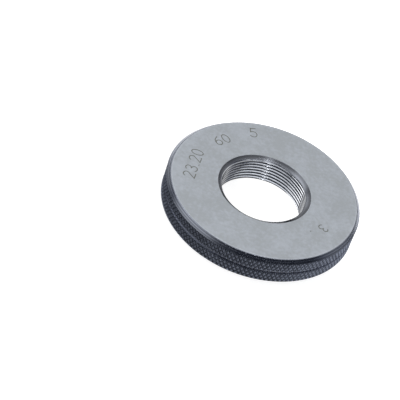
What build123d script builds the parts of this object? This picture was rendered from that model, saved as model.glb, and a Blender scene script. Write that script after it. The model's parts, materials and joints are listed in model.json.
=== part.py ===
"""Thread ring gauge, no-go side, for a right-hand metric fine thread of 24 mm by 1 mm pitch.

One hardened steel ring: a turned blank with bevelled edges, a diamond knurl round its rim with
a marking groove through the middle, and the gauging thread cut through its bore with a lead-in
cone at each mouth.

Sizes are in millimetres. The ring lies on its plain face, with the origin on the bore axis in
that face and the bore along +Z.
"""

import os
from math import radians, tan

from build123d import *

# Blank
blank_diameter = 53.0
ring_width = 8.25
rim_bevel = 0.95  # 45 degrees, on both edges of the rim

# Marking groove, which tells a no-go ring from a go ring by touch
groove_height = 4.1  # middle of the groove, above the plain face
groove_width = 0.7
groove_depth = 0.5

# Diamond knurl, in a band each side of the marking groove
knurl_teeth = 140
knurl_rows = 3  # of half diamonds, up each band
knurl_depth = 0.3
knurl_land = 0.05  # plain land between the knurl and each bevel
tip_relief = 0.02  # the diamonds' tips stand this far inside the lands

# Gauging thread
thread_diameter = 24.0  # nominal, of the screw that is tried in the ring
thread_pitch = 1.0
flank_angle = 30.0  # of each flank, from a plane square to the axis
no_go_allowance = 0.15  # pitch diameter below the basic one, so that a good screw doesn't enter
crest_depth = 0.1  # the crests are cut short this far inside the pitch line
thread_start = 0.05  # how far below the plain face the turns are counted from

# Lead-in cone at each mouth of the bore
lead_in_depth = 0.72
lead_in_angle = 60.0  # of the cone's wall, from the axis

# Cutting forms reach this far past the surface that they cut, so that no skin is left
overrun = 0.2

# Radii of the thread, from the sharp vee form of its pitch
thread_height = thread_pitch / 2 / tan(radians(flank_angle))
pitch_radius = (thread_diameter - no_go_allowance) / 2 - thread_height * 3 / 8
root_radius = pitch_radius + thread_height / 2
crest_radius = pitch_radius - crest_depth

blank_radius = blank_diameter / 2
mouth_radius = crest_radius + lead_in_depth * tan(radians(lead_in_angle))

# Heights of the marking groove's walls and of the knurl's outer ends
groove_bottom = groove_height - groove_width / 2
groove_top = groove_height + groove_width / 2
knurl_bottom = rim_bevel + knurl_land
knurl_top = ring_width - rim_bevel - knurl_land


def knurl_form(bottom, top):
    """What the knurl takes off one band: a square block with the knurled rim as its hollow.

    The knurled surface is a lattice of half diamonds. Tips and hollows take turns round each
    row and from row to row, and each square of the lattice is creased from hollow to hollow.
    """
    columns = 2 * knurl_teeth
    half_side = blank_radius + overrun

    def point(column, row):
        is_tip = (column + row) % 2 == 1
        radius = blank_radius - (tip_relief if is_tip else knurl_depth)
        height = bottom + (top - bottom) * row / knurl_rows
        return Vector(radius, 0, height).rotate(Axis.Z, (column % columns) * 360 / columns)

    def corner(index, height):
        return Vector(half_side, half_side, height).rotate(Axis.Z, index % 4 * 90)

    faces = []
    for row in range(knurl_rows):
        for column in range(columns):
            square = [
                point(column, row),
                point(column + 1, row),
                point(column + 1, row + 1),
                point(column, row + 1),
            ]
            if (column + row) % 2 == 1:
                square = square[1:] + square[:1]
            first, second, third, fourth = square
            faces.append(Face(Wire.make_polygon([first, second, third])))
            faces.append(Face(Wire.make_polygon([first, third, fourth])))
    for row, height in ((0, bottom), (knurl_rows, top)):
        outside = Wire.make_polygon([corner(index, height) for index in range(4)])
        inside = Wire.make_polygon([point(column, row) for column in range(columns)])
        faces.append(Face(outside, [inside]))
    for index in range(4):
        edge = [(index, bottom), (index + 1, bottom), (index + 1, top), (index, top)]
        faces.append(Face(Wire.make_polygon([corner(*end) for end in edge])))
    return Solid(Shell(faces))


with BuildPart() as thread_ring:
    # Turned blank with a plain bore
    with BuildSketch(Plane.XZ) as half_section:
        with Locations((crest_radius, 0)):
            Rectangle(
                blank_radius - crest_radius, ring_width, align=(Align.MIN, Align.MIN)
            )
        chamfer(half_section.vertices().group_by(Axis.X)[-1], rim_bevel)
    revolve(axis=Axis.Z)

    # Knurl, then the marking groove between its bands
    add(knurl_form(knurl_bottom, groove_bottom), mode=Mode.SUBTRACT)
    add(knurl_form(groove_top, knurl_top), mode=Mode.SUBTRACT)
    with BuildSketch(Plane.XZ):
        with Locations((blank_radius - groove_depth, groove_height)):
            Rectangle(groove_depth + overrun, groove_width, align=(Align.MIN, Align.CENTER))
    revolve(axis=Axis.Z, mode=Mode.SUBTRACT)

    # Gauging thread: the vee between two turns of the ridge, carried up a right-hand helix
    # from a whole turn below the ring to a whole turn above it
    form_start = -thread_start - thread_pitch
    form_height = ring_width + thread_start + 2 * thread_pitch
    form_radius = crest_radius - overrun
    form_half_width = (root_radius - form_radius) * tan(radians(flank_angle))
    with BuildLine() as thread_path:
        Helix(thread_pitch, form_height, root_radius, center=(0, 0, form_start))
    with BuildSketch(Plane.XZ) as thread_space:
        with BuildLine():
            Polyline(
                (root_radius, form_start),
                (form_radius, form_start + form_half_width),
                (form_radius, form_start - form_half_width),
                close=True,
            )
        make_face()
    sweep(path=thread_path.line, is_frenet=True, mode=Mode.SUBTRACT)

    # Lead-in cones, cut last so that they trim the first and last turns back to full depth
    plain_mouth = Plane.XY
    marked_mouth = Plane(origin=(0, 0, ring_width), z_dir=(0, 0, -1))
    with Locations(plain_mouth, marked_mouth):
        Cone(
            bottom_radius=mouth_radius,
            top_radius=0,
            height=mouth_radius / tan(radians(lead_in_angle)),
            align=(Align.CENTER, Align.CENTER, Align.MIN),
            mode=Mode.SUBTRACT,
        )

thread_ring.part.label = "thread_ring"
os.makedirs("parts", exist_ok=True)
export_step(thread_ring.part, "parts/thread_ring.step")
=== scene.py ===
"""Thread ring gauge: the finished surface of a knurled right-hand no-go ring, and its stage.

The ring is one closed surface. It is worked out as arrays, patch by patch, along one trip round its
section: marked face, rim bevel, knurl, gauge groove, knurl, rim bevel, plain face, threaded bore.
Lengths are in metres, +Z is the bore axis, and the plain face lies in z = 0.
"""

import json
from collections import namedtuple
from math import cos, pi, radians, sin, tan

import bpy
import numpy as np
from bpy.props import FloatProperty, FloatVectorProperty, IntProperty, PointerProperty
from bpy.types import Operator, Panel, PropertyGroup
from mathutils import Matrix, Vector

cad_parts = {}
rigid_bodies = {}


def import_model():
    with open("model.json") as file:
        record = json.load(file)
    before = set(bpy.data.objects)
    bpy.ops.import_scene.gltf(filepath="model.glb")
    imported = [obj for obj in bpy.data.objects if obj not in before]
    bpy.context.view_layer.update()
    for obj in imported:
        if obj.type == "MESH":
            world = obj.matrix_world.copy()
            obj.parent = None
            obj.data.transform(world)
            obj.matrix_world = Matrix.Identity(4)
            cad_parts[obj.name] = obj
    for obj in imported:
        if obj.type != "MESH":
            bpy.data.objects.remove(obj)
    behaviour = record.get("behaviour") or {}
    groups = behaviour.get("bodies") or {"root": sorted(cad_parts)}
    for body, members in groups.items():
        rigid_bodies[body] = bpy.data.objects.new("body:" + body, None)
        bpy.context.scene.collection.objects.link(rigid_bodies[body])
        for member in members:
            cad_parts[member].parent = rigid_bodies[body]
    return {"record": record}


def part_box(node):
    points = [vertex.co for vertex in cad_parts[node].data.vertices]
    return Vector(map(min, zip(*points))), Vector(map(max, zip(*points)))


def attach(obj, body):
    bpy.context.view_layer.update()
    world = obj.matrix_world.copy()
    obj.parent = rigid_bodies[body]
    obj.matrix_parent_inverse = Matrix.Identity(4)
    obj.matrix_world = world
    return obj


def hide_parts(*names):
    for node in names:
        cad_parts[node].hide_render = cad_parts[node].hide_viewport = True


bl_info = {
    "name": "Thread Ring Gauge",
    "version": (1, 0, 0),
    "blender": (4, 5, 0),
    "location": "View3D > Sidebar > Ring Gauge",
    "description": "Finishes a knurled thread ring gauge and lights it on a plain floor",
    "category": "Add Mesh",
}

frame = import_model()

NODE = "thread_ring"
PIECE = "ring_gauge"
MM = 0.001
CAD_LOW, CAD_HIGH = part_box(NODE)
MOUNTS = {mount["name"]: mount for mount in frame["record"]["mounts"]}
RIM_RADIUS = MOUNTS["rim"]["dims"]["r_mm"] * MM
CREST_RADIUS = MOUNTS["bore"]["dims"]["r_mm"] * MM
WIDTH = CAD_HIGH.z - CAD_LOW.z
BEVEL = (WIDTH - MOUNTS["rim"]["dims"]["length_mm"] * MM) / 2
LEAD_IN = (WIDTH - MOUNTS["bore"]["dims"]["length_mm"] * MM) / 2

# Engraved marks on the face, all plain numbers: text, angle of its middle in degrees, radius of
# its middle and height of its digits in millimetres.
MARKS = (
    ("23.20", 179.5, 20.0, 3.5),
    ("60", 138.5, 19.9, 3.4),
    ("5", 110.0, 21.6, 3.7),
    ("3", 337.2, 19.1, 2.9),
    (".", 325.5, 19.0, 2.9),
)

# Proportions of the digits, as shares of their height.
DIGIT_WIDTH, DIGIT_ADVANCE, POINT_ADVANCE = 0.6, 0.78, 0.36

# Plain margin of the marked face beside the bore's mouth and beside the bevel.
FACE_MARGIN = 0.1 * MM

# Corners sharper than this stay sharp when the surface is shaded smooth.
SHARP_ANGLE = radians(24)

# Columns of faces round the bevels, which don't follow the knurl.
BEVEL_COLUMNS = 360

# Columns and rows of cells in a whole diamond of the knurl, and how far it stands up at even
# steps from a groove to the middle of a diamond: straight flanks and a worn tip.
DIAMOND_CELLS = 6
DIAMOND_STEPS, DIAMOND_SHARES = (0, 1 / 6, 1 / 3, 1 / 2), (0, 0.38, 0.77, 1)

# Material slots of the ring, in order.
FACE, BEVELS, KNURL, GROOVE, LEAD_INS, THREAD = range(6)

# Painted circles round the axis: tones of a painted highlight and of a painted shade, as factors
# of the steel's colour, and how much of the steel they cover.
PAINTED_HIGHLIGHT_TONE, PAINTED_SHADE_TONE, LINE_COVER = 1.7, 0.45, 0.7

# Height of all fine bump.
BUMP_HEIGHT = 0.01 * MM

# Studio tent: radius, radiance away from its patches, tints of dim and of bright cloth, and the
# radiance from which cloth counts as bright.
TENT_RADIUS = 1.3
TENT_GROUND = 0.05
DIM_CLOTH, BRIGHT_CLOTH = (0.78, 0.9, 1.25, 1.0), (1.0, 1.0, 1.0, 1.0)
BRIGHT_FROM = 0.5

# Bright patches of the tent: direction of the middle, inner and outer angle in degrees, radiance.
TENT_PATCHES = (
    ((0.00, 0.40, 0.917), 25, 50, 1.12),
    ((-0.60, 0.70, 0.42), 8, 24, 1.15),
    ((0.62, 0.62, 0.48), 8, 24, 0.62),
    ((0.00, 1.00, 0.00), 8, 60, 0.90),
    ((0.90, 0.25, 0.33), 10, 28, 0.40),
    ((-0.82, 0.52, 0.20), 10, 28, 0.50),
    ((-0.75, -0.30, 0.58), 16, 32, 0.95),
    ((0.47, -0.88, 0.06), 9, 22, 3.6),
    ((0.116, -0.20, 0.974), 1.5, 4, 12.0),
)

# Floor: radius, sides, depth below the ring, share of its tone that glows, and its glow as the
# camera sees it.
FLOOR_RADIUS, FLOOR_SIDES, FLOOR_DROP = 1.5, 96, 0.02 * MM
FLOOR_GLOW_SHARE, FLOOR_SEEN_GLOW = 0.6, 1.5

# The floor's glow as the ring's steel sees it: its rise per metre along X and Y, its share at the
# bore axis, and its least and greatest strength.
GLOW_RISE, GLOW_AT_AXIS, GLOW_RANGE = (9.2, 13.1, 0.0), 0.65, (0.1, 2.2)

# Softbox: direction from the ring, distance and side.
SOFTBOX_DIRECTION, SOFTBOX_DISTANCE, SOFTBOX_SIDE = (-0.6, 0.14, 0.79), 0.7, 0.34

# A closed row of points: their numbers, their angles and its radius.
Circle = namedtuple("Circle", "ids angles radius")


# ---------------------------------------------------------------- settings


class RingSizes(PropertyGroup):
    """Turned sizes of the ring"""

    rim_radius: FloatProperty(
        name="Rim radius", description="Radius of the rim at the lands beside its bevels",
        default=RIM_RADIUS, subtype="DISTANCE", unit="LENGTH",
    )
    width: FloatProperty(
        name="Width", description="Distance between the two faces",
        default=WIDTH, subtype="DISTANCE", unit="LENGTH",
    )
    bevel: FloatProperty(
        name="Rim bevel", description="Size of the bevel between rim and face",
        default=BEVEL, subtype="DISTANCE", unit="LENGTH",
    )
    edge_round: FloatProperty(
        name="Edge round", description="Radius that breaks the corner between face and bevel",
        default=0.35 * MM, subtype="DISTANCE", unit="LENGTH",
    )
    groove_height: FloatProperty(
        name="Groove height", description="Height of the gauge groove's middle",
        default=4.1 * MM, subtype="DISTANCE", unit="LENGTH",
    )
    groove_width: FloatProperty(
        name="Groove width", description="Width of the gauge groove, between upright walls",
        default=0.7 * MM, subtype="DISTANCE", unit="LENGTH",
    )
    groove_depth: FloatProperty(
        name="Groove depth", description="Depth of the gauge groove",
        default=0.5 * MM, subtype="DISTANCE", unit="LENGTH",
    )


class ThreadSizes(PropertyGroup):
    """Sizes of the gauging thread and its lead-in cones"""

    crest_radius: FloatProperty(
        name="Crest radius", description="Radius of the thread's crests",
        default=CREST_RADIUS, subtype="DISTANCE", unit="LENGTH",
    )
    pitch: FloatProperty(
        name="Pitch", description="Rise of the thread in one turn",
        default=1.0 * MM, subtype="DISTANCE", unit="LENGTH",
    )
    depth: FloatProperty(
        name="Thread depth", description="Depth of the vee from crest to root",
        default=0.533 * MM, subtype="DISTANCE", unit="LENGTH",
    )
    flank_angle: FloatProperty(
        name="Flank angle", description="Half of the vee's angle",
        default=radians(30), subtype="ANGLE", unit="ROTATION",
    )
    start: FloatProperty(
        name="Thread start", description="Depth of a space below the plain face at angle zero",
        default=0.05 * MM, subtype="DISTANCE", unit="LENGTH",
    )
    lead_in: FloatProperty(
        name="Lead-in", description="Depth of the cone at each end of the bore",
        default=LEAD_IN, subtype="DISTANCE", unit="LENGTH",
    )
    lead_in_angle: FloatProperty(
        name="Lead-in angle", description="Angle of the cone's wall, from the axis",
        default=radians(60), subtype="ANGLE", unit="ROTATION",
    )
    columns: IntProperty(
        name="Thread columns", description="Number of columns of faces round the bore",
        default=288, min=24,
    )


class KnurlSizes(PropertyGroup):
    """Sizes of the diamond knurl"""

    teeth: IntProperty(
        name="Teeth", description="Number of diamonds round the rim", default=140, min=12,
    )
    depth: FloatProperty(
        name="Knurl depth", description="Depth of the knurl's grooves",
        default=0.3 * MM, subtype="DISTANCE", unit="LENGTH",
    )
    tip_relief: FloatProperty(
        name="Tip relief", description="Depth of the diamonds' tips inside the rim radius",
        default=0.02 * MM, subtype="DISTANCE", unit="LENGTH",
    )
    land: FloatProperty(
        name="Knurl land", description="Distance from a bevel to the knurl",
        default=0.05 * MM, subtype="DISTANCE", unit="LENGTH",
    )
    rows: IntProperty(
        name="Rows in a band", description="Rows of cells in each band, six to a diamond",
        default=9, min=3,
    )


class MarkSizes(PropertyGroup):
    """Sizes of the engraved marks"""

    stroke: FloatProperty(
        name="Stroke", description="Width of an engraved line",
        default=0.3 * MM, subtype="DISTANCE", unit="LENGTH",
    )
    depth: FloatProperty(
        name="Mark depth", description="Depth of an engraved line",
        default=0.035 * MM, subtype="DISTANCE", unit="LENGTH",
    )
    cell: FloatProperty(
        name="Cell", description="Size of the face's grid cells where marks are engraved",
        default=0.1 * MM, subtype="DISTANCE", unit="LENGTH",
    )


class Finishes(PropertyGroup):
    """Base colours of the ring's finishes"""

    face: FloatVectorProperty(
        name="Face", description="Satin ground steel of the faces",
        default=(0.43, 0.46, 0.502), subtype="COLOR", min=0, max=1,
    )
    bevel: FloatVectorProperty(
        name="Bevel", description="Turned steel of the rim bevels",
        default=(0.26, 0.28, 0.33), subtype="COLOR", min=0, max=1,
    )
    knurl: FloatVectorProperty(
        name="Knurl", description="Darkened steel of the knurled rim",
        default=(0.15, 0.165, 0.208), subtype="COLOR", min=0, max=1,
    )
    groove: FloatVectorProperty(
        name="Groove", description="Turned steel of the gauge groove",
        default=(0.39, 0.41, 0.47), subtype="COLOR", min=0, max=1,
    )
    lead_in: FloatVectorProperty(
        name="Lead-in", description="Turned steel of the lead-in cones",
        default=(0.21, 0.222, 0.25), subtype="COLOR", min=0, max=1,
    )
    thread: FloatVectorProperty(
        name="Thread", description="Lapped steel of the thread's flanks",
        default=(0.78, 0.80, 0.84), subtype="COLOR", min=0, max=1,
    )
    # Painted shade: a dark tone for the thread's crests and roots, for the shade in the roots and
    # the dark reflection on the crests.
    thread_painted_shade: FloatVectorProperty(
        name="Thread crests", description="Dark steel of the thread's crests and roots",
        default=(0.014, 0.018, 0.026), subtype="COLOR", min=0, max=1,
    )
    mark: FloatVectorProperty(
        name="Mark", description="Darkened floor of the engraved marks",
        default=(0.15, 0.155, 0.13), subtype="COLOR", min=0, max=1,
    )


class StageSettings(PropertyGroup):
    """Camera, softbox and floor"""

    elevation: FloatProperty(
        name="Elevation", description="Height angle of the camera above the ring's face",
        default=radians(42.205), subtype="ANGLE", unit="ROTATION",
    )
    roll: FloatProperty(
        name="Roll", description="Turn of the camera about its line of sight",
        default=radians(19.093), subtype="ANGLE", unit="ROTATION",
    )
    distance: FloatProperty(
        name="Distance", description="From the camera to the marked face, along the line of sight",
        default=439.15 * MM, subtype="DISTANCE", unit="LENGTH",
    )
    aside: FloatProperty(
        name="Aside", description="Shift of the camera to its left",
        default=17.119 * MM, subtype="DISTANCE", unit="LENGTH",
    )
    below: FloatProperty(
        name="Below", description="Shift of the camera downwards in the picture",
        default=3.069 * MM, subtype="DISTANCE", unit="LENGTH",
    )
    lens: FloatProperty(
        name="Lens", description="Focal length in millimetres on a 36 mm sensor",
        default=149.77, min=10,
    )
    softbox: FloatProperty(
        name="Softbox", description="Radiance of the soft lamp above on the left",
        default=1.5, min=0,
    )
    floor_colour: FloatVectorProperty(
        name="Floor", description="Colour of the floor", default=(0.85, 0.85, 0.85),
        subtype="COLOR", min=0, max=1,
    )


# ---------------------------------------------------------------- surface


class Surface:
    """Collects points, triangles and a value for each point, and makes one mesh of them."""

    def __init__(self, attribute):
        self.attribute = attribute
        self.points, self.values, self.faces, self.slots = [], [], [], []
        self.count = 0

    def add(self, points, values=1.0):
        """Adds an array of points, (..., 3), and returns their numbers in the same shape."""
        shape = points.shape[:-1]
        ids = self.count + np.arange(int(np.prod(shape))).reshape(shape)
        self.points.append(points.reshape(-1, 3))
        self.values.append(np.broadcast_to(values, shape).reshape(-1))
        self.count += ids.size
        return ids

    def fill(self, triangles, slot):
        """Adds triangles, (n, 3) point numbers, without those that have shrunk to a line."""
        a, b, c = triangles.T
        kept = triangles[(a != b) & (b != c) & (c != a)]
        self.faces.append(kept)
        self.slots.append(np.full(len(kept), slot))

    def cells(self, grid, slot, chosen, crossed=False):
        """Fills the chosen cells of a grid of ids with two triangles each. The cells marked in
        crossed are split along their other diagonal."""
        a, b, c, d = grid[:-1, :-1], grid[1:, :-1], grid[1:, 1:], grid[:-1, 1:]
        plain, crossed = chosen & np.logical_not(crossed), chosen & crossed
        for corners, kept in (
            ((a, b, c), plain), ((a, c, d), plain), ((a, b, d), crossed), ((b, c, d), crossed),
        ):
            self.fill(np.stack([corner[kept] for corner in corners], axis=1), slot)

    def strips(self, ids, slot, crossed=False):
        """Fills all the cells between neighbouring rows of ids. Each row is a closed circle."""
        grid = np.concatenate([ids, ids[:, :1]], axis=1)
        everywhere = np.ones((len(ids) - 1, ids.shape[1]), bool)
        self.cells(grid, slot, everywhere, np.broadcast_to(crossed, everywhere.shape))

    def join(self, upper, lower, slot):
        """Fills the strip between two circles with different numbers of points.

        Each circle's edges are sorted by the angle of their middle; an edge makes a triangle with
        the point that the other circle has reached by then.
        """
        def middles(angles):
            return (angles + np.append(angles[1:], angles[0] + 2 * pi)) / 2

        upper_mid, lower_mid = middles(upper.angles), middles(lower.angles)
        upper_ids, lower_ids = upper.ids, lower.ids
        across = lower_ids[np.searchsorted(lower_mid, upper_mid) % len(lower_ids)]
        self.fill(np.stack([upper_ids, across, np.roll(upper_ids, -1)], axis=1), slot)
        across = upper_ids[np.searchsorted(upper_mid, lower_mid, side="right") % len(upper_ids)]
        self.fill(np.stack([lower_ids, np.roll(lower_ids, -1), across], axis=1), slot)

    def mesh(self, name):
        """Makes the mesh, with unused points left out."""
        points, faces = np.concatenate(self.points), np.concatenate(self.faces)
        used, faces = np.unique(faces, return_inverse=True)
        faces = faces.reshape(-1, 3)
        data = bpy.data.meshes.new(name)
        data.vertices.add(len(used))
        data.vertices.foreach_set("co", points[used].astype(np.float32).ravel())
        data.loops.add(faces.size)
        data.loops.foreach_set("vertex_index", faces.astype(np.int32).ravel())
        data.polygons.add(len(faces))
        data.polygons.foreach_set("loop_start", np.arange(0, faces.size, 3, dtype=np.int32))
        data.polygons.foreach_set("material_index", np.concatenate(self.slots).astype(np.int32))
        values = np.concatenate(self.values)[used].astype(np.float32)
        data.attributes.new(self.attribute, "FLOAT", "POINT").data.foreach_set("value", values)
        data.update(calc_edges=True)
        data.validate()
        data.shade_smooth()
        data.set_sharp_from_angle(angle=SHARP_ANGLE)
        return data


def even(count):
    """Angles of count evenly spaced columns."""
    return np.arange(count) * (2 * pi / count)


def turned(radii, heights, angles):
    """Rows of points: x = r cos t, y = r sin t, z = height. radii and heights have a row each, or a
    value for each row and column."""
    radii, heights = (np.asarray(a, float) for a in (radii, heights))
    if radii.ndim == 1:
        radii, heights = radii[:, None], heights[:, None]
    radii, heights, angles = np.broadcast_arrays(radii, heights, angles)
    return np.stack([radii * np.cos(angles), radii * np.sin(angles), heights], axis=-1)


# ---------------------------------------------------------------- engraved marks


def arc(x, y, rx, ry, start, end, steps=12):
    """Points on an ellipse: x + rx cos t, y + ry sin t, for t in degrees from start to end."""
    t = np.radians(np.linspace(start, end, steps))
    return np.stack([x + rx * np.cos(t), y + ry * np.sin(t)], axis=1)


def digit_strokes():
    """Centrelines of single-stroke digits, as point lists in a cell DIGIT_WIDTH wide and 1 high."""
    line = np.array
    return {
        "0": [arc(0.3, 0.5, 0.27, 0.46, 0, 360, 25)],
        "2": [
            np.concatenate([
                arc(0.3, 0.72, 0.25, 0.24, 165, -40),
                line([[0.05, 0.04], [0.57, 0.04]]),
            ]),
        ],
        "3": [
            np.concatenate([
                arc(0.28, 0.74, 0.23, 0.22, 150, -90),
                arc(0.28, 0.28, 0.27, 0.24, 90, -150),
            ]),
        ],
        "5": [
            np.concatenate([
                line([[0.52, 0.96], [0.12, 0.96], [0.08, 0.54]]),
                arc(0.27, 0.33, 0.28, 0.29, 125, -150),
            ]),
        ],
        "6": [
            np.concatenate([line([[0.48, 0.94]]), arc(0.42, 0.34, 0.37, 0.52, 120, 180)]),
            arc(0.3, 0.31, 0.25, 0.27, 0, 360, 21),
        ],
        ".": [line([[0.27, 0.05], [0.33, 0.05]])],
    }


def mark_segments(text, angle, radius, height):
    """Start and end points of a mark's strokes on the face. Its digits stand on a straight line at
    right angles to the radius, with their tops outwards."""
    strokes = digit_strokes()
    advances = np.array([POINT_ADVANCE if letter == "." else DIGIT_ADVANCE for letter in text])
    middles = np.cumsum(advances) - advances / 2 - advances.sum() / 2
    out = np.array([cos(radians(angle)), sin(radians(angle))])
    along = np.array([out[1], -out[0]])
    starts, ends = [], []
    for letter, middle in zip(text, middles):
        for stroke in strokes[letter]:
            across = (stroke[:, :1] - DIGIT_WIDTH / 2 + middle) * height
            upwards = (stroke[:, 1:] - 0.5) * height
            points = radius * out + across * along + upwards * out
            starts.append(points[:-1])
            ends.append(points[1:])
    return np.concatenate(starts), np.concatenate(ends)


def stroke_distance(points, starts, ends):
    """Distance from each of the points to the nearest of the segments: to the point at the share
    of the segment that lies square below it, kept between its ends."""
    run = ends - starts
    offset = points[:, None, :] - starts[None]
    share = np.clip((offset * run).sum(-1) / np.maximum((run * run).sum(-1), MM**4), 0, 1)
    return np.linalg.norm(offset - share[..., None] * run, axis=-1).min(axis=1)


def mark_depth(xy, sizes):
    """How deep the marks are at each point, from 0 to 1: full along a stroke's middle, easing to
    nothing at half a stroke's width."""
    depth = np.zeros(len(xy))
    for text, angle, radius, height in MARKS:
        starts, ends = mark_segments(text, angle, radius * MM, height * MM)
        reach = sizes.stroke
        low = np.minimum(starts, ends).min(axis=0) - reach
        high = np.maximum(starts, ends).max(axis=0) + reach
        near = np.flatnonzero(((xy > low) & (xy < high)).all(axis=1))
        away = stroke_distance(xy[near], starts, ends) / (sizes.stroke / 2)
        share = np.clip((1 - away) / 0.45, 0, 1)
        depth[near] = np.maximum(depth[near], share * share * (3 - 2 * share))
    return depth


def face_columns(sizes):
    """Angles of the marked face's columns: 3 degrees apart, and close together across each mark."""
    coarse_step = radians(3)
    coarse, fine = np.arange(0, 2 * pi - coarse_step / 2, coarse_step), []
    for text, angle, radius, height in MARKS:
        starts, ends = mark_segments(text, angle, radius * MM, height * MM)
        ends = np.concatenate([starts, ends])
        spread = np.arctan2(ends[:, 1], ends[:, 0]) % (2 * pi)
        margin = sizes.stroke / (radius * MM)
        step = sizes.cell / (radius * MM)
        low, high = spread.min() - margin, spread.max() + margin
        coarse = coarse[(coarse < low - step) | (coarse > high + step)]
        fine.append(np.linspace(low, high, int((high - low) / step) + 1))
    return np.unique(np.concatenate([coarse, *fine]))


def face_rows(inner, outer, sizes):
    """Radii of the marked face's rows: 1 mm apart, and close together where there are marks."""
    reach = np.concatenate([
        np.linalg.norm(np.concatenate(mark_segments(text, angle, radius * MM, height * MM)), axis=1)
        for text, angle, radius, height in MARKS
    ])
    low, high = reach.min() - sizes.stroke, reach.max() + sizes.stroke
    return np.concatenate([
        np.arange(inner, low - MM / 2, MM),
        np.linspace(low, high, int((high - low) / sizes.cell) + 1),
        np.linspace(high, outer, 4)[1:],
    ])


# ---------------------------------------------------------------- patches


def knurl_share(rows, columns):
    """How far the knurl stands up, from 0 in a groove to 1 on a diamond's tip, at each row and
    column number.

    u and v count the grooves of the two hands, which cross at the sum and at the difference of
    column and row; the height follows from the distance to the nearest groove.
    """
    row, column = np.meshgrid(rows, columns, indexing="ij")
    u, v = (column + row) / DIAMOND_CELLS, (column - row) / DIAMOND_CELLS
    nearest = np.minimum(np.abs(u - np.round(u)), np.abs(v - np.round(v)))
    return np.interp(nearest, DIAMOND_STEPS, DIAMOND_SHARES)


def bevel_rows(sizes, tip_relief):
    """Radii and depths below the face of the bevel's rows, from the face's edge outwards.

    A small round leads from the face into a 45 degree cone; the cone stops at the knurl's tips.
    """
    corner = sizes.rim_radius - sizes.bevel
    tangent = sizes.edge_round * tan(pi / 8)
    turn = np.linspace(0, pi / 4, 5)
    round_radii = corner - tangent + sizes.edge_round * np.sin(turn)
    round_depths = sizes.edge_round * (1 - np.cos(turn))
    cone = np.linspace(round_radii[-1], sizes.rim_radius - tip_relief, 4)[1:]
    return np.append(round_radii, cone), np.append(round_depths, cone - corner)


def add_rim(surface, sizes, knurl):
    """Adds bevels, knurled bands and gauge groove. Returns the circles of both face edges.

    Rows run from the marked face down to the plain one. A knurl row's number counts from its
    band's bottom, and cells that rise from a tip to a hollow are split the other way.
    """
    columns = even(DIAMOND_CELLS * knurl.teeth)
    bevel_columns = even(BEVEL_COLUMNS)
    groove_top = sizes.groove_height + sizes.groove_width / 2
    groove_bottom = sizes.groove_height - sizes.groove_width / 2

    def band(bottom, top):
        numbers = np.arange(knurl.rows, -1, -1)
        share = knurl_share(numbers, np.arange(len(columns)))
        radii = sizes.rim_radius - knurl.tip_relief - (1 - share) * (knurl.depth - knurl.tip_relief)
        heights = bottom + (top - bottom) * numbers[:, None] / knurl.rows + np.zeros_like(radii)
        ids = surface.add(turned(radii, heights, columns), share)
        surface.strips(ids, KNURL, (numbers[:-1, None] - 1 + np.arange(len(columns))) % 2 == 1)
        return ids

    def circle(ids, angles=columns, radius=sizes.rim_radius):
        return Circle(ids, angles, radius)

    bevel_radii, bevel_depths = bevel_rows(sizes, knurl.tip_relief)
    upper = surface.add(turned(bevel_radii, sizes.width - bevel_depths, bevel_columns))
    surface.strips(upper, BEVELS)
    upper_band = band(groove_top, sizes.width - sizes.bevel - knurl.land)
    surface.join(circle(upper[-1], bevel_columns), circle(upper_band[0]), KNURL)
    floor_radius = sizes.rim_radius - sizes.groove_depth
    groove = surface.add(turned([floor_radius] * 2, [groove_top, groove_bottom], columns), 0.0)
    lower_band = band(sizes.bevel + knurl.land, groove_bottom)
    surface.strips(np.concatenate([upper_band[-1:], groove, lower_band[:1]]), GROOVE)
    lower = surface.add(turned(bevel_radii[::-1], bevel_depths[::-1], bevel_columns))
    surface.join(circle(lower_band[-1]), circle(lower[0], bevel_columns), KNURL)
    surface.strips(lower, BEVELS)
    return [circle(ids, bevel_columns, bevel_radii[0]) for ids in (upper[0], lower[-1])]


def thread_rows(thread):
    """Heights of the thread's rows within one pitch, from the middle of a space: four up the flank,
    four across the crest and four down the next flank."""
    half_space = thread.depth * tan(thread.flank_angle)
    flank = np.linspace(0, half_space, 5)
    crest = np.linspace(half_space, thread.pitch - half_space, 5)
    return np.concatenate([flank, crest[1:], (thread.pitch - flank)[::-1][1:-1]])


def mouth_radius(thread):
    """Radius at which the lead-in cones meet the faces."""
    return thread.crest_radius + thread.lead_in * tan(thread.lead_in_angle)


def thread_radius(height, space_height, thread):
    """Radius of the thread at each height. It is the root's at the middle of a space, falls from
    there in a straight line at the flank's angle, and stops falling at the crest."""
    turns = (height - space_height) / thread.pitch
    from_space = np.abs(turns - np.round(turns)) * thread.pitch
    vee = thread.crest_radius + thread.depth - from_space / tan(thread.flank_angle)
    return np.maximum(vee, thread.crest_radius)


def cone_radius(height, sizes, thread):
    """Radius of the nearer lead-in cone: the mouth's, less the depth times the angle's tangent."""
    depth = np.minimum(height, sizes.width - height)
    return mouth_radius(thread) - depth * tan(thread.lead_in_angle)


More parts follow.
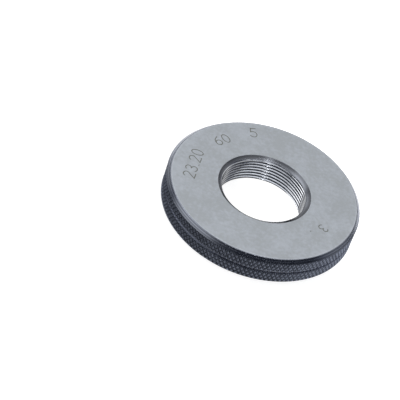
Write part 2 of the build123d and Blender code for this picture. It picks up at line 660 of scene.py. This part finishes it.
def add_bore(surface, sizes, thread):
    """Adds the threaded bore, from the plain face up. Returns the circles of both mouths.

    The rows follow the thread: row after row up a pitch, each rising a pitch in one turn, so a
    turn's end meets its start one pitch of rows further on. Past a mouth, and less than a third of
    a row before it, rows end on its circle. A point's radius is the thread's or the cone's,
    whichever is greater.
    """
    columns = even(thread.columns)
    rows = thread_rows(thread)
    per_pitch = len(rows)
    pitches = int(np.ceil(sizes.width / thread.pitch)) + 2
    base = (rows + np.arange(-1, pitches - 1)[:, None] * thread.pitch).reshape(-1, 1)
    space = -thread.start + thread.pitch * columns / (2 * pi)
    heights = base + space
    snap = 0.3 * thread.pitch / per_pitch
    above, below = heights > sizes.width - snap, heights < snap
    radii = np.maximum(thread_radius(heights, space, thread), cone_radius(heights, sizes, thread))
    relief = np.clip((radii - thread.crest_radius) / thread.depth, 0, 1)
    ids = surface.add(turned(radii, heights, columns), 1 - relief)
    mouth = mouth_radius(thread)
    circles = surface.add(turned([mouth] * 2, [0, sizes.width], columns))
    ids = np.where(below, circles[0], np.where(above, circles[1], ids))
    following = np.append(ids[per_pitch:, 0], np.full(per_pitch, circles[1, 0]))
    half_column = thread.pitch / len(columns) / 2
    middle = (heights[:-1] + heights[1:]) / 2 + half_column
    wall = thread_radius(middle, space + half_column, thread)
    on_cone = cone_radius(middle, sizes, thread) > wall
    wide = np.concatenate([ids, following[:, None]], axis=1)
    surface.cells(wide, LEAD_INS, chosen=on_cone)
    surface.cells(wide, THREAD, chosen=~on_cone)
    return [Circle(ids, columns, mouth) for ids in circles]


def add_marked_face(surface, sizes, marks, inner, outer):
    """Adds the upper face between the circles of the bore's mouth and of the bevel. Its height is
    the ring's width, less the marks' depth."""
    columns = face_columns(marks)
    radii = face_rows(inner.radius + FACE_MARGIN, outer.radius - FACE_MARGIN, marks)
    points = turned(radii, np.full(len(radii), sizes.width), columns)
    depth = mark_depth(points[..., :2].reshape(-1, 2), marks).reshape(points.shape[:2])
    points[..., 2] -= depth * marks.depth
    ids = surface.add(points, 1 - depth)
    surface.strips(ids, FACE)
    surface.join(inner, Circle(ids[0], columns, radii[0]), FACE)
    surface.join(Circle(ids[-1], columns, radii[-1]), outer, FACE)


def add_plain_face(surface, inner, outer):
    """Adds the lower face, flat at height 0, from the bevel in to the bore's mouth."""
    radii = np.linspace(outer.radius, inner.radius, 7)[1:-1]
    ids = surface.add(turned(radii, np.zeros(len(radii)), outer.angles))
    surface.strips(np.concatenate([outer.ids[None], ids]), FACE)
    surface.join(Circle(ids[-1], outer.angles, radii[-1]), inner, FACE)


def ring_mesh(sizes, thread, knurl, marks):
    """The whole ring as one closed mesh."""
    surface = Surface("relief")
    upper_edge, lower_edge = add_rim(surface, sizes, knurl)
    plain_mouth, marked_mouth = add_bore(surface, sizes, thread)
    add_marked_face(surface, sizes, marks, marked_mouth, upper_edge)
    add_plain_face(surface, plain_mouth, lower_edge)
    return surface.mesh(PIECE)


# ---------------------------------------------------------------- materials


def node(tree, kind, inputs=None, **settings):
    """Adds a node, sets its properties and fills its inputs with values or links."""
    made = tree.nodes.new(kind)
    for key, value in settings.items():
        setattr(made, key, value)
    for key, value in (inputs or {}).items():
        socket = made.inputs[key]
        if isinstance(value, bpy.types.NodeSocket):
            tree.links.new(value, socket)
        else:
            socket.default_value = value
    return made


def calc(tree, operation, a, b=0.0, clamp=False):
    """A Math node's value."""
    made = node(tree, "ShaderNodeMath", {0: a, 1: b}, operation=operation, use_clamp=clamp)
    return made.outputs[0]


def object_place(tree):
    """The point's place in the object's own coordinates."""
    return node(tree, "ShaderNodeTexCoord").outputs["Object"]


def point_value(tree, attribute):
    """The mesh's value of that name."""
    return node(tree, "ShaderNodeAttribute", attribute_name=attribute).outputs["Fac"]


def noise(tree, place, scale, detail=2.0, dimensions="3D"):
    """A Noise Texture's value."""
    inputs = {"Vector": place, "Scale": scale, "Detail": detail}
    made = node(tree, "ShaderNodeTexNoise", inputs, noise_dimensions=dimensions)
    return made.outputs["Fac"]


def bumped(tree, height, strength):
    """The normal bumped by a height from 0 to 1."""
    inputs = {"Strength": strength, "Distance": BUMP_HEIGHT, "Height": height}
    return node(tree, "ShaderNodeBump", inputs).outputs["Normal"]


def between(tree, value, low, high):
    """Maps 0..1 to low..high."""
    return node(
        tree, "ShaderNodeMapRange", {"Value": value, "To Min": low, "To Max": high},
    ).outputs[0]


def easing(tree, value, start, end):
    """Rises smoothly from 0 to 1 while the value goes from start to end."""
    return node(
        tree, "ShaderNodeMapRange", {"Value": value, "From Min": start, "From Max": end},
        interpolation_type="SMOOTHSTEP",
    ).outputs[0]


def new_group(name, inputs, outputs):
    """A shader node group with sockets given as (name, kind, default), and its in and out nodes."""
    group = bpy.data.node_groups.new(name, "ShaderNodeTree")
    for in_out, sockets in (("INPUT", inputs), ("OUTPUT", outputs)):
        for label, kind, default in sockets:
            socket_type = f"NodeSocket{kind}"
            socket = group.interface.new_socket(label, in_out=in_out, socket_type=socket_type)
            if default is not None:
                socket.default_value = default
    return group, group.nodes.new("NodeGroupInput"), group.nodes.new("NodeGroupOutput")


def polar_position(tree):
    """Object position as distance from the bore axis and height."""
    x, y, z = node(tree, "ShaderNodeSeparateXYZ", {0: object_place(tree)}).outputs
    flat = node(tree, "ShaderNodeCombineXYZ", {"X": x, "Y": y}).outputs[0]
    length = node(tree, "ShaderNodeVectorMath", {0: flat}, operation="LENGTH")
    return length.outputs["Value"], z


def mottle_group():
    """Cloudy change of tone: two sizes of noise, put out as a mask round one half."""
    group, given, out = new_group(
        "mottled_tone",
        [("Scale", "Float", 300.0), ("Contrast", "Float", 0.5)],
        [("Mask", "Float", None)],
    )
    place = object_place(group)
    scale = given.outputs["Scale"]
    coarse = noise(group, place, scale, detail=3.0)
    fine = noise(group, place, calc(group, "MULTIPLY", scale, 7.0))
    centred = calc(group, "SUBTRACT", calc(group, "ADD", coarse, fine), 1.0)
    spread = calc(group, "MULTIPLY", centred, given.outputs["Contrast"])
    mask = calc(group, "ADD", spread, 0.5, clamp=True)
    group.links.new(mask, out.inputs["Mask"])
    return group


def turned_lines_group():
    """Tool marks of turning: noise over radius and height only, so its lines run round the axis,
    broken up by a slow noise. Puts out the lines' mask and a bumped normal."""
    group, given, out = new_group(
        "turned_lines",
        [("Lines", "Float", 9000.0), ("Depth", "Float", 0.2)],
        [("Mask", "Float", None), ("Normal", "Vector", None)],
    )
    radius, height = polar_position(group)
    section = node(group, "ShaderNodeCombineXYZ", {"X": radius, "Y": height}).outputs[0]
    lines = noise(group, section, given.outputs["Lines"], dimensions="2D")
    patches = noise(group, object_place(group), 260.0)
    mask = calc(group, "MULTIPLY", lines, calc(group, "ADD", patches, 0.5))
    normal = bumped(group, mask, given.outputs["Depth"])
    group.links.new(mask, out.inputs["Mask"])
    group.links.new(normal, out.inputs["Normal"])
    return group


def ring_line_group():
    """A soft circle round the axis: 1 at the given radius, falling to 0 over the given width."""
    group, given, out = new_group(
        "ring_line",
        [("Radius", "Float", 0.0255), ("Width", "Float", 0.0002)],
        [("Mask", "Float", None)],
    )
    radius, _ = polar_position(group)
    away = calc(group, "ABSOLUTE", calc(group, "SUBTRACT", radius, given.outputs["Radius"]))
    share = calc(group, "DIVIDE", away, given.outputs["Width"])
    mask = calc(group, "SUBTRACT", 1.0, share, clamp=True)
    group.links.new(mask, out.inputs["Mask"])
    return group


def grouped(tree, group, **values):
    """Places a node group in a material."""
    made = tree.nodes.new("ShaderNodeGroup")
    made.node_tree = group
    for key, value in values.items():
        made.inputs[key].default_value = value
    return made


def mix(tree, share, a, b):
    """Mixes two colours, given as values or links."""
    made = node(tree, "ShaderNodeMix", data_type="RGBA")
    for socket, value in ((made.inputs[0], share), (made.inputs[6], a), (made.inputs[7], b)):
        if isinstance(value, bpy.types.NodeSocket):
            tree.links.new(value, socket)
        else:
            socket.default_value = value
    return made.outputs[2]


def shade(colour, factor):
    """A colour times a factor, with alpha."""
    return tuple(min(1.0, channel * factor) for channel in colour) + (1.0,)


def new_steel(name):
    """A material with a metallic Principled BSDF. Returns the material, its tree and its shader."""
    material = bpy.data.materials.new(name)
    material.use_nodes = True
    tree = material.node_tree
    shader = tree.nodes["Principled BSDF"]
    shader.inputs["Metallic"].default_value = 1.0
    return material, tree, shader


def connect(tree, shader, colour, roughness, normal=None):
    """Links a material's colour, roughness and normal to its shader."""
    tree.links.new(colour, shader.inputs["Base Color"])
    tree.links.new(roughness, shader.inputs["Roughness"])
    if normal is not None:
        tree.links.new(normal, shader.inputs["Normal"])


def face_material(finishes, groups, sizes):
    """Satin ground steel: cloudy tone, grinding lines along X, a painted highlight just inside the
    outer edge, dark marks.
    """
    material, tree, shader = new_steel("satin_ground_face")
    tone = grouped(tree, groups["mottle"], Scale=170.0, Contrast=3.0).outputs["Mask"]
    cloud = grouped(tree, groups["mottle"], Scale=620.0, Contrast=2.2).outputs["Mask"]
    inputs = {"Vector": object_place(tree), "Scale": (0.06, 1.0, 1.0)}
    stretched = node(tree, "ShaderNodeMapping", inputs).outputs[0]
    grain = noise(tree, stretched, 7000.0, detail=3.0)
    cool = mix(tree, cloud, shade(finishes.face, 0.95), shade(finishes.face, 1.08))
    warm = [channel * factor for channel, factor in zip(finishes.face, (0.98, 0.97, 0.93))]
    steel = mix(tree, between(tree, tone, 0.0, 0.7), cool, shade(warm, 0.97))
    lined = mix(tree, between(tree, grain, 0.0, 0.14), steel, shade(finishes.face, 0.7))
    # Painted highlight: a lighter circle of colour just inside the face's outer edge.
    edge_radius = sizes.rim_radius - sizes.bevel - 0.25 * MM
    edge = grouped(tree, groups["line"], Radius=edge_radius, Width=0.35 * MM).outputs["Mask"]
    edge_highlighted = mix(tree, calc(tree, "MULTIPLY", edge, 0.5), lined, shade(finishes.face, 1.25))
    marked = mix(tree, point_value(tree, "relief"), shade(finishes.mark, 1.0), edge_highlighted)
    rough = calc(tree, "ADD", tone, calc(tree, "MULTIPLY", grain, 0.4))
    connect(tree, shader, marked, between(tree, rough, 0.36, 0.50), bumped(tree, grain, 0.12))
    return material


def turned_material(name, colour, groups, lines, roughness, bright=(), dark=()):
    """Turned steel: lines round the axis, with circles of painted highlight (bright) and of painted
    shade (dark) at given radii and widths, and a least and greatest roughness."""
    material, tree, shader = new_steel(name)
    marks = grouped(tree, groups["turned"], Lines=lines, Depth=0.25)
    tone = grouped(tree, groups["mottle"], Scale=400.0, Contrast=1.2).outputs["Mask"]
    steel = mix(tree, tone, shade(colour, 0.88), shade(colour, 1.1))
    lined = between(tree, marks.outputs["Mask"], -0.2, 0.5)
    steel = mix(tree, lined, steel, shade(colour, 0.55))
    # The bright circles are painted highlight and the dark ones painted shade.
    for circles, factor in ((bright, PAINTED_HIGHLIGHT_TONE), (dark, PAINTED_SHADE_TONE)):
        for radius, width in circles:
            line = grouped(tree, groups["line"], Radius=radius, Width=width).outputs["Mask"]
            cover = calc(tree, "MULTIPLY", line, LINE_COVER)
            steel = mix(tree, cover, steel, shade(colour, factor))
    connect(tree, shader, steel, between(tree, tone, *roughness), marks.outputs["Normal"])
    return material


def knurl_material(finishes, groups):
    """Darkened steel of the knurl: painted shade makes it nearly black in the grooves, and wear
    leaves it lighter on the diamonds.
    """
    material, tree, shader = new_steel("darkened_knurl_painted_shade")
    tone = grouped(tree, groups["mottle"], Scale=700.0, Contrast=2.0).outputs["Mask"]
    raised = easing(tree, point_value(tree, "relief"), 0.0, 0.65)
    # Painted shade in the grooves: the low knurl mixes to nearly black, and the tips stay lighter
    # for wear.
    shade_and_wear = calc(tree, "MULTIPLY", raised, between(tree, tone, 0.6, 1.2), clamp=True)
    colour = mix(tree, shade_and_wear, shade(finishes.knurl, 0.24), shade(finishes.knurl, 1.45))
    normal = bumped(tree, noise(tree, object_place(tree), 9000.0), 0.2)
    shader.inputs["Specular Tint"].default_value = (0.3, 0.3, 0.3, 1.0)
    connect(tree, shader, colour, between(tree, shade_and_wear, 0.34, 0.24), normal)
    return material


def thread_material(finishes, groups):
    """Lapped steel of the thread: bright flanks, painted shade on the crests and roots, and fine
    lines along them.
    """
    material, tree, shader = new_steel("lapped_thread")
    relief = point_value(tree, "relief")
    marks = grouped(tree, groups["turned"], Lines=14000.0, Depth=0.04)
    tone = grouped(tree, groups["mottle"], Scale=500.0, Contrast=1.4).outputs["Mask"]
    flank = mix(tree, tone, shade(finishes.thread, 0.85), shade(finishes.thread, 1.15))
    # Painted shade: crests and roots mix to a dark tone, for the shade in the roots and the dark
    # reflection on the crests.
    crest, root = easing(tree, relief, 0.76, 0.93), easing(tree, relief, 0.22, 0.0)
    dark = calc(tree, "MAXIMUM", crest, root)
    colour = mix(tree, dark, flank, shade(finishes.thread_painted_shade, 1.0))
    connect(tree, shader, colour, between(tree, tone, 0.1, 0.18), marks.outputs["Normal"])
    return material


def ring_materials(finishes, sizes, thread):
    """The ring's materials, in slot order."""
    groups = {"mottle": mottle_group(), "turned": turned_lines_group(), "line": ring_line_group()}
    corner = sizes.rim_radius - sizes.bevel
    mouth = mouth_radius(thread)
    # The bevel's bright circle is a painted highlight and its dark circles are painted shade, in
    # place of the light and shade of a small ridge turned round the bevel.
    bevels = turned_material(
        "turned_bevel", finishes.bevel, groups, lines=11000.0, roughness=(0.2, 0.34),
        bright=[(corner + 0.42 * MM, 0.1 * MM)],
        dark=[(corner + 0.28 * MM, 0.12 * MM), (corner + 0.66 * MM, 0.12 * MM)],
    )
    groove = turned_material(
        "turned_groove", finishes.groove, groups, lines=11000.0, roughness=(0.25, 0.38),
    )
    # The lead-in's dark circles are painted shade over the outer part of each cone, by its mouth.
    lead_ins = turned_material(
        "turned_lead_in", finishes.lead_in, groups, lines=13000.0, roughness=(0.18, 0.3),
        dark=[(mouth - 0.2 * MM, 0.5 * MM), (mouth - 0.3 * MM, 0.6 * MM)],
    )
    return [
        face_material(finishes, groups, sizes), bevels, knurl_material(finishes, groups), groove,
        lead_ins, thread_material(finishes, groups),
    ]


# ---------------------------------------------------------------- stage


def link(name, data):
    """An object with that data in the scene."""
    made = bpy.data.objects.new(name, data)
    bpy.context.scene.collection.objects.link(made)
    return made


def seen_ray(tree):
    """1 for camera, glossy and transmission rays, which see the plain background."""
    path = node(tree, "ShaderNodeLightPath")
    first = calc(tree, "MAXIMUM", path.outputs["Is Camera Ray"], path.outputs["Is Glossy Ray"])
    return calc(tree, "MAXIMUM", first, path.outputs["Is Transmission Ray"])


def bare_material(name):
    """A material without nodes, and its tree."""
    material = bpy.data.materials.new(name)
    material.use_nodes = True
    material.node_tree.nodes.clear()
    return material, material.node_tree


def add_floor(stage):
    """A round pale floor under the ring. Its seen side is mostly white light, and its matt share
    keeps the ring's soft shadow. For the ring's steel its glow rises in a straight line across
    the floor, from the near left to the far right."""
    data = bpy.data.meshes.new("floor")
    edge = turned([FLOOR_RADIUS], [-FLOOR_DROP], even(FLOOR_SIDES))[0]
    side = np.arange(FLOOR_SIDES)
    faces = np.stack([np.full(FLOOR_SIDES, FLOOR_SIDES), side, (side + 1) % FLOOR_SIDES], axis=1)
    data.from_pydata([*edge.tolist(), (0.0, 0.0, -FLOOR_DROP)], [], faces.tolist())
    material, tree = bare_material("pale_floor")
    matt = node(tree, "ShaderNodeBsdfDiffuse", {"Color": tuple(stage.floor_colour) + (1.0,)})
    rise = node(
        tree, "ShaderNodeVectorMath", {0: object_place(tree), 1: GLOW_RISE},
        operation="DOT_PRODUCT",
    ).outputs["Value"]
    mirrored = between(tree, calc(tree, "ADD", rise, GLOW_AT_AXIS, clamp=True), *GLOW_RANGE)
    camera_ray = node(tree, "ShaderNodeLightPath").outputs["Is Camera Ray"]
    seen = calc(tree, "MULTIPLY", camera_ray, FLOOR_SEEN_GLOW)
    glow = node(tree, "ShaderNodeEmission", {"Strength": calc(tree, "MAXIMUM", mirrored, seen)})
    share = calc(tree, "MULTIPLY", seen_ray(tree), FLOOR_GLOW_SHARE)
    both = node(tree, "ShaderNodeMixShader", {0: share, 1: matt.outputs[0], 2: glow.outputs[0]})
    node(tree, "ShaderNodeOutputMaterial", {"Surface": both.outputs[0]})
    data.materials.append(material)
    link("floor", data)


def add_world():
    """White surroundings, which the camera sees past the edge of the floor."""
    world = bpy.data.worlds.new("studio")
    bpy.context.scene.world = world
    world.use_nodes = True
    background = world.node_tree.nodes["Background"]
    background.inputs["Color"].default_value = (1.0, 1.0, 1.0, 1.0)
    background.inputs["Strength"].default_value = 1.0


def tent_glow(directions):
    """Radiance of the tent in each direction: the brightest of its patches, over a dim ground. A
    patch keeps its strength up to its inner angle and fades smoothly to nothing at the outer."""
    glow = np.full(directions.shape[:-1], TENT_GROUND)
    for middle, inner, outer, strength in TENT_PATCHES:
        towards = np.array(middle) / np.linalg.norm(middle)
        away = np.arccos(np.clip(directions @ towards, -1, 1))
        share = np.clip((radians(outer) - away) / radians(outer - inner), 0, 1)
        glow = np.maximum(glow, strength * share * share * (3 - 2 * share))
    return glow


def add_tent():
    """A dome of lit cloth round the ring, hidden from the camera. Points are r (cos e cos a,
    cos e sin a, sin e) for even elevations e and angles a."""
    elevation = np.radians(np.linspace(-1, 89.5, 61))
    grid = turned(TENT_RADIUS * np.cos(elevation), TENT_RADIUS * np.sin(elevation), even(120))
    glow = tent_glow(grid / np.linalg.norm(grid, axis=-1, keepdims=True))
    tent = Surface("glow")
    tent.strips(tent.add(grid, glow), 0)
    data = tent.mesh("tent")
    material, tree = bare_material("lit_cloth")
    light = point_value(tree, "glow")
    tint = mix(
        tree, calc(tree, "MULTIPLY", light, 1 / BRIGHT_FROM, clamp=True), DIM_CLOTH, BRIGHT_CLOTH,
    )
    glowing = node(tree, "ShaderNodeEmission", {"Color": tint, "Strength": light})
    node(tree, "ShaderNodeOutputMaterial", {"Surface": glowing.outputs[0]})
    data.materials.append(material)
    dome = link("tent", data)
    dome.visible_camera = False


def add_softbox(radiance):
    """A square area lamp aimed at the ring. Its power is radiance x area x pi."""
    data = bpy.data.lights.new("softbox", "AREA")
    data.shape = "SQUARE"
    data.size = SOFTBOX_SIDE
    data.energy = radiance * SOFTBOX_SIDE * SOFTBOX_SIDE * pi
    lamp = link("softbox", data)
    towards = Vector(SOFTBOX_DIRECTION).normalized()
    lamp.location = towards * SOFTBOX_DISTANCE
    lamp.rotation_mode = "QUATERNION"
    lamp.rotation_quaternion = towards.to_track_quat("Z", "Y")


def add_camera(stage, face_height):
    """The camera looks down on the ring along +Y, turned about its line of sight."""
    forward = Vector((0.0, cos(stage.elevation), -sin(stage.elevation)))
    level_right = Vector((1.0, 0.0, 0.0))
    level_down = forward.cross(level_right)
    right = level_right * cos(stage.roll) - level_down * sin(stage.roll)
    down = forward.cross(right)
    data = bpy.data.cameras.new("camera")
    data.lens = stage.lens
    data.sensor_width = 36.0
    data.clip_start = 0.01
    camera = link("camera", data)
    aim = Vector((0, 0, face_height)) - right * stage.aside + down * stage.below
    place = aim - forward * stage.distance
    turn = Matrix((right, -down, -forward)).transposed().to_4x4()
    camera.matrix_world = Matrix.Translation(place) @ turn
    bpy.context.scene.camera = camera


# ---------------------------------------------------------------- add-on


class RINGGAUGE_OT_ring(Operator):
    """Build the finished ring and let it stand for the plain solid"""

    bl_idname = "ring_gauge.ring"
    bl_label = "Ring"

    def execute(self, context):
        scene = context.scene
        sizes, thread = scene.ring_sizes, scene.thread_sizes
        data = ring_mesh(sizes, thread, scene.knurl_sizes, scene.mark_sizes)
        for material in ring_materials(scene.ring_finishes, sizes, thread):
            data.materials.append(material)
        piece = link(PIECE, data)
        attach(piece, "root")
        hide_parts(NODE)
        return {"FINISHED"}


class RINGGAUGE_OT_stage(Operator):
    """Set the floor, the surroundings, the lamp and the camera"""

    bl_idname = "ring_gauge.stage"
    bl_label = "Stage"

    def execute(self, context):
        scene = context.scene
        scene.view_settings.view_transform = "Standard"
        add_floor(scene.ring_stage)
        add_world()
        add_tent()
        add_softbox(scene.ring_stage.softbox)
        add_camera(scene.ring_stage, scene.ring_sizes.width)
        return {"FINISHED"}


class RINGGAUGE_PT_panel(Panel):
    """Ring gauge settings and steps"""

    bl_label = "Ring Gauge"
    bl_space_type = "VIEW_3D"
    bl_region_type = "UI"
    bl_category = "Ring Gauge"

    def draw(self, context):
        for operator in (RINGGAUGE_OT_ring, RINGGAUGE_OT_stage):
            self.layout.operator(operator.bl_idname)
        for name, group in SETTINGS.items():
            box = self.layout.box()
            box.label(text=group.__doc__)
            for key in group.__annotations__:
                box.prop(getattr(context.scene, name), key)


SETTINGS = {
    "ring_sizes": RingSizes,
    "thread_sizes": ThreadSizes,
    "knurl_sizes": KnurlSizes,
    "mark_sizes": MarkSizes,
    "ring_finishes": Finishes,
    "ring_stage": StageSettings,
}
CLASSES = (*SETTINGS.values(), RINGGAUGE_OT_ring, RINGGAUGE_OT_stage, RINGGAUGE_PT_panel)


def register():
    for entry in CLASSES:
        bpy.utils.register_class(entry)
    for name, group in SETTINGS.items():
        setattr(bpy.types.Scene, name, PointerProperty(type=group))


def unregister():
    for name in SETTINGS:
        delattr(bpy.types.Scene, name)
    for entry in reversed(CLASSES):
        bpy.utils.unregister_class(entry)


def main():
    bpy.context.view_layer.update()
    register()
    bpy.ops.ring_gauge.ring()
    bpy.ops.ring_gauge.stage()


if __name__ == "__main__":
    main()
